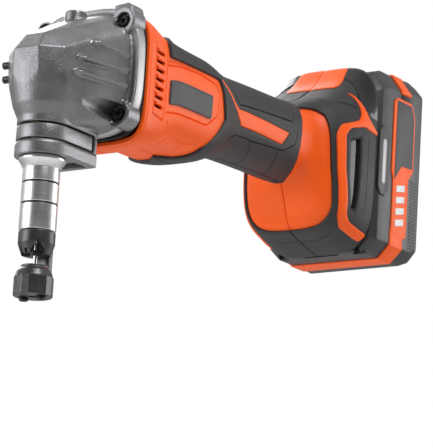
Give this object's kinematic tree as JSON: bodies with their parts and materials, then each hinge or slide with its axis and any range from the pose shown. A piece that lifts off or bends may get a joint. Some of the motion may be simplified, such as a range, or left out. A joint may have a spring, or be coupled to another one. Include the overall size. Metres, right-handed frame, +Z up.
{
  "type": "cordless nibbler",
  "caption": "Cordless sheet-metal nibbler with cast gear head, turning punch nozzle and die, straight rubber-gripped body and slide-on battery.",
  "frame": {"origin": "middle of the tool's length and width, at the height of the lowest screw under the die", "axes": "+X back along the body from the punch nozzle towards the battery, +Z up, nozzle pointing down"},
  "size_m": [0.344, 0.0786, 0.199],
  "materials": {
    "cast_aluminium": "satin cast",
    "polished_steel": "polished",
    "dark_steel": "dark heat-treated",
    "black_oxide": "black oxide",
    "orange_plastic": "fine satin",
    "charcoal_rubber": "soft matt",
    "grey_plastic": "fine satin",
    "copper_winding": "varnished",
    "bronze": "plain",
    "circuit_board": "satin",
    "clear_lens": "frosted",
    "silver_mesh": "woven"
  },
  "bodies": {
    "tool_body": {"gear_housing": "cast_aluminium", "retaining_ring": "polished_steel", "crank_bearing_front": "polished_steel", "crank_bearing_rear": "polished_steel", "motor_bearing_front": "polished_steel", "motor_bearing_rear": "polished_steel", "head_screw_1": "black_oxide", "head_screw_2": "black_oxide", "head_screw_3": "black_oxide", "head_screw_4": "black_oxide", "gear_plate": "black_oxide", "switch_module": "black_oxide", "terminal_block": "black_oxide", "housing_left": "orange_plastic", "housing_right": "orange_plastic", "grip_panel_left": "orange_plastic", "grip_panel_right": "orange_plastic", "vent_frame_left": "orange_plastic", "vent_frame_right": "orange_plastic", "grip_left": "charcoal_rubber", "grip_right": "charcoal_rubber", "rear_cover_left": "charcoal_rubber", "rear_cover_right": "charcoal_rubber", "label_plate_left": "grey_plastic", "label_plate_right": "grey_plastic", "motor_carrier": "grey_plastic", "battery_dock": "grey_plastic", "stator": "copper_winding", "plunger_bush": "bronze", "controller_board": "circuit_board", "vent_mesh_left": "silver_mesh", "vent_mesh_right": "silver_mesh"},
    "lock": {"lock_yoke": "cast_aluminium"},
    "nozzle": {"nozzle_barrel": "polished_steel", "punch_guide": "dark_steel", "die_post": "polished_steel", "die": "dark_steel", "die_screw_1": "black_oxide", "die_screw_2": "black_oxide"},
    "punch_rod": {"punch": "polished_steel"},
    "plunger_rod": {"plunger": "polished_steel"},
    "crank": {"crank_shaft": "polished_steel", "pin_roller": "polished_steel", "crank_gear": "dark_steel"},
    "rotor": {"rotor_shaft": "polished_steel", "pinion": "dark_steel", "rotor_core": "dark_steel", "fan": "grey_plastic"},
    "switch": {"switch_button": "charcoal_rubber", "switch_rod": "grey_plastic"},
    "battery": {"battery_base": "grey_plastic", "battery_cover": "grey_plastic", "cell_pack": "circuit_board", "battery_label_left": "orange_plastic", "battery_label_right": "orange_plastic", "light_bar_left": "clear_lens", "light_bar_right": "clear_lens"},
    "release": {"battery_release": "black_oxide"}
  },
  "joints": [
    {"name": "lock_slide", "type": "slide", "parent": "tool_body", "child": "lock", "axis": [1, 0, 0], "range_m": [0, 0.0015], "stiffness_N_per_m": 800, "springref_m": -0.002},
    {"name": "nozzle_turn", "type": "hinge", "parent": "tool_body", "child": "nozzle", "pos_m": [-0.151, 0, 0.037], "axis": [0, 0, 1], "continuous": true},
    {"name": "plunger_stroke", "type": "slide", "parent": "tool_body", "child": "plunger_rod", "axis": [0, 0, -1], "range_m": [0, 0.004]},
    {"name": "punch_stroke", "type": "slide", "parent": "nozzle", "child": "punch_rod", "axis": [0, 0, -1], "range_m": [0, 0.004]},
    {"name": "motor_spin", "type": "hinge", "parent": "tool_body", "child": "rotor", "pos_m": [-0.091, 0, 0.136], "axis": [1, 0, 0], "continuous": true},
    {"name": "crank_spin", "type": "hinge", "parent": "tool_body", "child": "crank", "pos_m": [-0.131, 0, 0.121], "axis": [1, 0, 0], "continuous": true},
    {"name": "power_switch", "type": "slide", "parent": "tool_body", "child": "switch", "axis": [-1, 0, 0], "range_m": [0, 0.0045]},
    {"name": "battery_slide", "type": "slide", "parent": "tool_body", "child": "battery", "axis": [0, 0, 1], "range_m": [0, 0.085]},
    {"name": "battery_release_press", "type": "slide", "parent": "battery", "child": "release", "axis": [0, 0, -1], "range_m": [0, 0.003], "stiffness_N_per_m": 600, "springref_m": -0.001}
  ],
  "couplings": [
    {"joint": "crank_spin", "follows": "motor_spin", "ratio": -0.22222},
    {"joint": "punch_stroke", "follows": "plunger_stroke", "ratio": 1}
  ]
}
